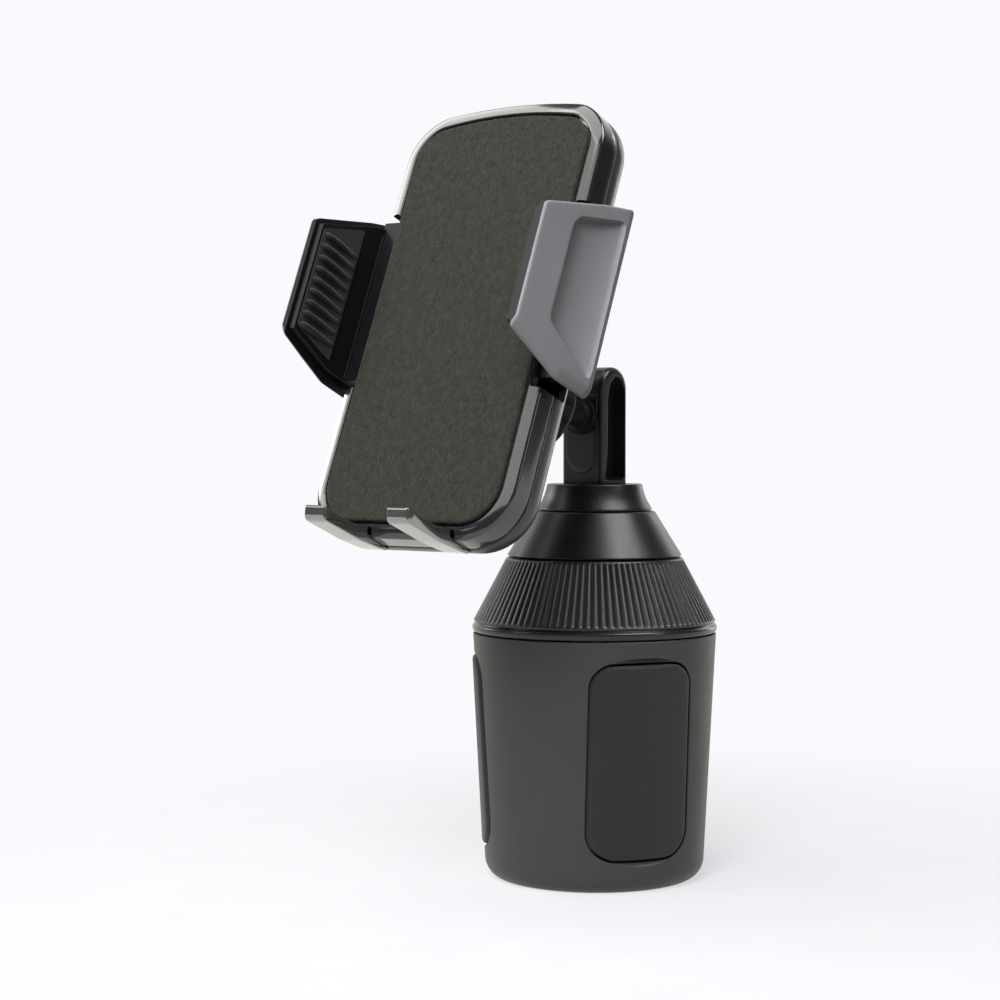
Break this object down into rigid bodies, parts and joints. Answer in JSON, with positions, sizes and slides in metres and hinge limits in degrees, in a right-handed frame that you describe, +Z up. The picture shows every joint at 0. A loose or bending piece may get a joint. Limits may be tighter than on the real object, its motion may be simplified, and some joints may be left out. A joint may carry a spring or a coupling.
{
  "type": "car phone mount",
  "caption": "Cup-holder phone mount: an expanding cup base with a knurled ring and grip pads, a swivel neck with a ball joint, and a sprung clamp cradle with a foot bracket.",
  "frame": {"origin": "centre of the base's flat underside", "axes": "+Z up along the base's axis; the cradle faces -Y; +X to the right of the cradle as seen from its back"},
  "size_m": [0.0844, 0.1399, 0.2165],
  "materials": {
    "satin_black": "satin moulded plastic",
    "cup_grey": "fine matte moulded plastic",
    "gloss_black": "polished",
    "jaw_grey": "satin",
    "inner_black": "matte",
    "rubber": "matte",
    "fabric": "fine weave",
    "foam": "closed-cell foam",
    "nylon": "natural nylon",
    "steel": "zinc plated"
  },
  "bodies": {
    "base": {"base_cup": "cup_grey", "guide_deck": "inner_black", "trim_ring": "gloss_black", "cone_cover": "satin_black", "deck_screw_1": "steel", "deck_screw_2": "steel", "deck_screw_3": "steel"},
    "adjust_ring": {"knurled_ring": "inner_black", "scroll_disc": "nylon", "ring_screw_1": "steel", "ring_screw_2": "steel", "ring_screw_3": "steel"},
    "pad_1": {"pad_carrier_1": "inner_black", "grip_pad_1": "rubber"},
    "pad_2": {"pad_carrier_2": "inner_black", "grip_pad_2": "rubber"},
    "pad_3": {"pad_carrier_3": "inner_black", "grip_pad_3": "rubber"},
    "neck": {"neck_post": "satin_black", "neck_collar": "satin_black", "swivel_bolt": "steel", "spring_washer": "steel", "ball_stud": "satin_black", "stud_screw": "steel"},
    "ball_pan": {"friction_ring": "rubber"},
    "ball_tilt": {"ball_seat": "nylon"},
    "cradle": {"socket_cup": "satin_black", "socket_screw_1": "steel", "socket_screw_2": "steel", "socket_screw_3": "steel", "back_shell": "satin_black", "front_bezel": "gloss_black", "foam_sheet": "foam", "fabric_pad": "fabric", "cradle_screw_1": "steel", "cradle_screw_2": "steel", "cradle_screw_3": "steel", "cradle_screw_4": "steel", "pinion_pin": "steel", "jaw_spring": "steel", "button_spring": "steel"},
    "lock_nut": {"lock_nut": "satin_black"},
    "left_jaw": {"left_arm": "inner_black", "left_jaw_cover": "jaw_grey", "left_grip_liner": "rubber"},
    "right_jaw": {"right_arm": "inner_black", "right_jaw_cover": "jaw_grey", "right_grip_liner": "rubber"},
    "pinion": {"pinion": "nylon"},
    "release_button": {"release_button": "gloss_black"},
    "foot": {"foot_bracket": "gloss_black"}
  },
  "joints": [
    {"name": "ring_turn", "type": "hinge", "parent": "base", "child": "adjust_ring", "pos_m": [0, 0, 0.0828], "axis": [0, 0, 1], "range_deg": [0, 120]},
    {"name": "pad_slide_1", "type": "slide", "parent": "base", "child": "pad_1", "axis": [0.866, -0.5, 0], "range_m": [0, 0.01001]},
    {"name": "pad_slide_2", "type": "slide", "parent": "base", "child": "pad_2", "axis": [0, 1, 0], "range_m": [0, 0.01001]},
    {"name": "pad_slide_3", "type": "slide", "parent": "base", "child": "pad_3", "axis": [-0.866, -0.5, 0], "range_m": [0, 0.01001]},
    {"name": "neck_swivel", "type": "hinge", "parent": "base", "child": "neck", "pos_m": [0, 0, 0.1093], "axis": [0, 0, 1], "continuous": true},
    {"name": "ball_pan", "type": "hinge", "parent": "neck", "child": "ball_pan", "pos_m": [0, -0.035, 0.1365], "axis": [0, 0, 1], "range_deg": [-20, 20]},
    {"name": "ball_tilt", "type": "hinge", "parent": "ball_pan", "child": "ball_tilt", "pos_m": [0, -0.035, 0.1365], "axis": [1, 0, 0], "range_deg": [-10, 20]},
    {"name": "cradle_spin", "type": "hinge", "parent": "ball_tilt", "child": "cradle", "pos_m": [0, -0.035, 0.1365], "axis": [0, -0.9239, 0.3827], "continuous": true},
    {"name": "nut_turn", "type": "hinge", "parent": "cradle", "child": "lock_nut", "pos_m": [0, -0.035, 0.1365], "axis": [0, -0.9239, 0.3827], "range_deg": [0, 180]},
    {"name": "left_jaw_slide", "type": "slide", "parent": "cradle", "child": "left_jaw", "axis": [-1, 0, 0], "range_m": [-0.0055, 0.011]},
    {"name": "right_jaw_slide", "type": "slide", "parent": "cradle", "child": "right_jaw", "axis": [1, 0, 0], "range_m": [-0.0055, 0.011]},
    {"name": "pinion_spin", "type": "hinge", "parent": "cradle", "child": "pinion", "pos_m": [0, -0.05242, 0.16212], "axis": [0, -0.9239, 0.3827], "range_deg": [-46, 91]},
    {"name": "button_press", "type": "slide", "parent": "cradle", "child": "release_button", "axis": [0, -0.9239, 0.3827], "range_m": [0, 0.002], "stiffness_N_per_m": 500, "springref_m": -0.001, "deforming": ["button_spring"]},
    {"name": "foot_slide", "type": "slide", "parent": "cradle", "child": "foot", "axis": [0, -0.3827, -0.9239], "range_m": [0, 0.012]}
  ],
  "couplings": [
    {"joint": "pad_slide_1", "follows": "ring_turn", "m_per_rad": 0.0047747},
    {"joint": "pad_slide_2", "follows": "ring_turn", "m_per_rad": 0.0047747},
    {"joint": "pad_slide_3", "follows": "ring_turn", "m_per_rad": 0.0047747},
    {"joint": "right_jaw_slide", "follows": "left_jaw_slide", "ratio": 1},
    {"joint": "pinion_spin", "follows": "left_jaw_slide", "rad_per_m": 142.86}
  ]
}
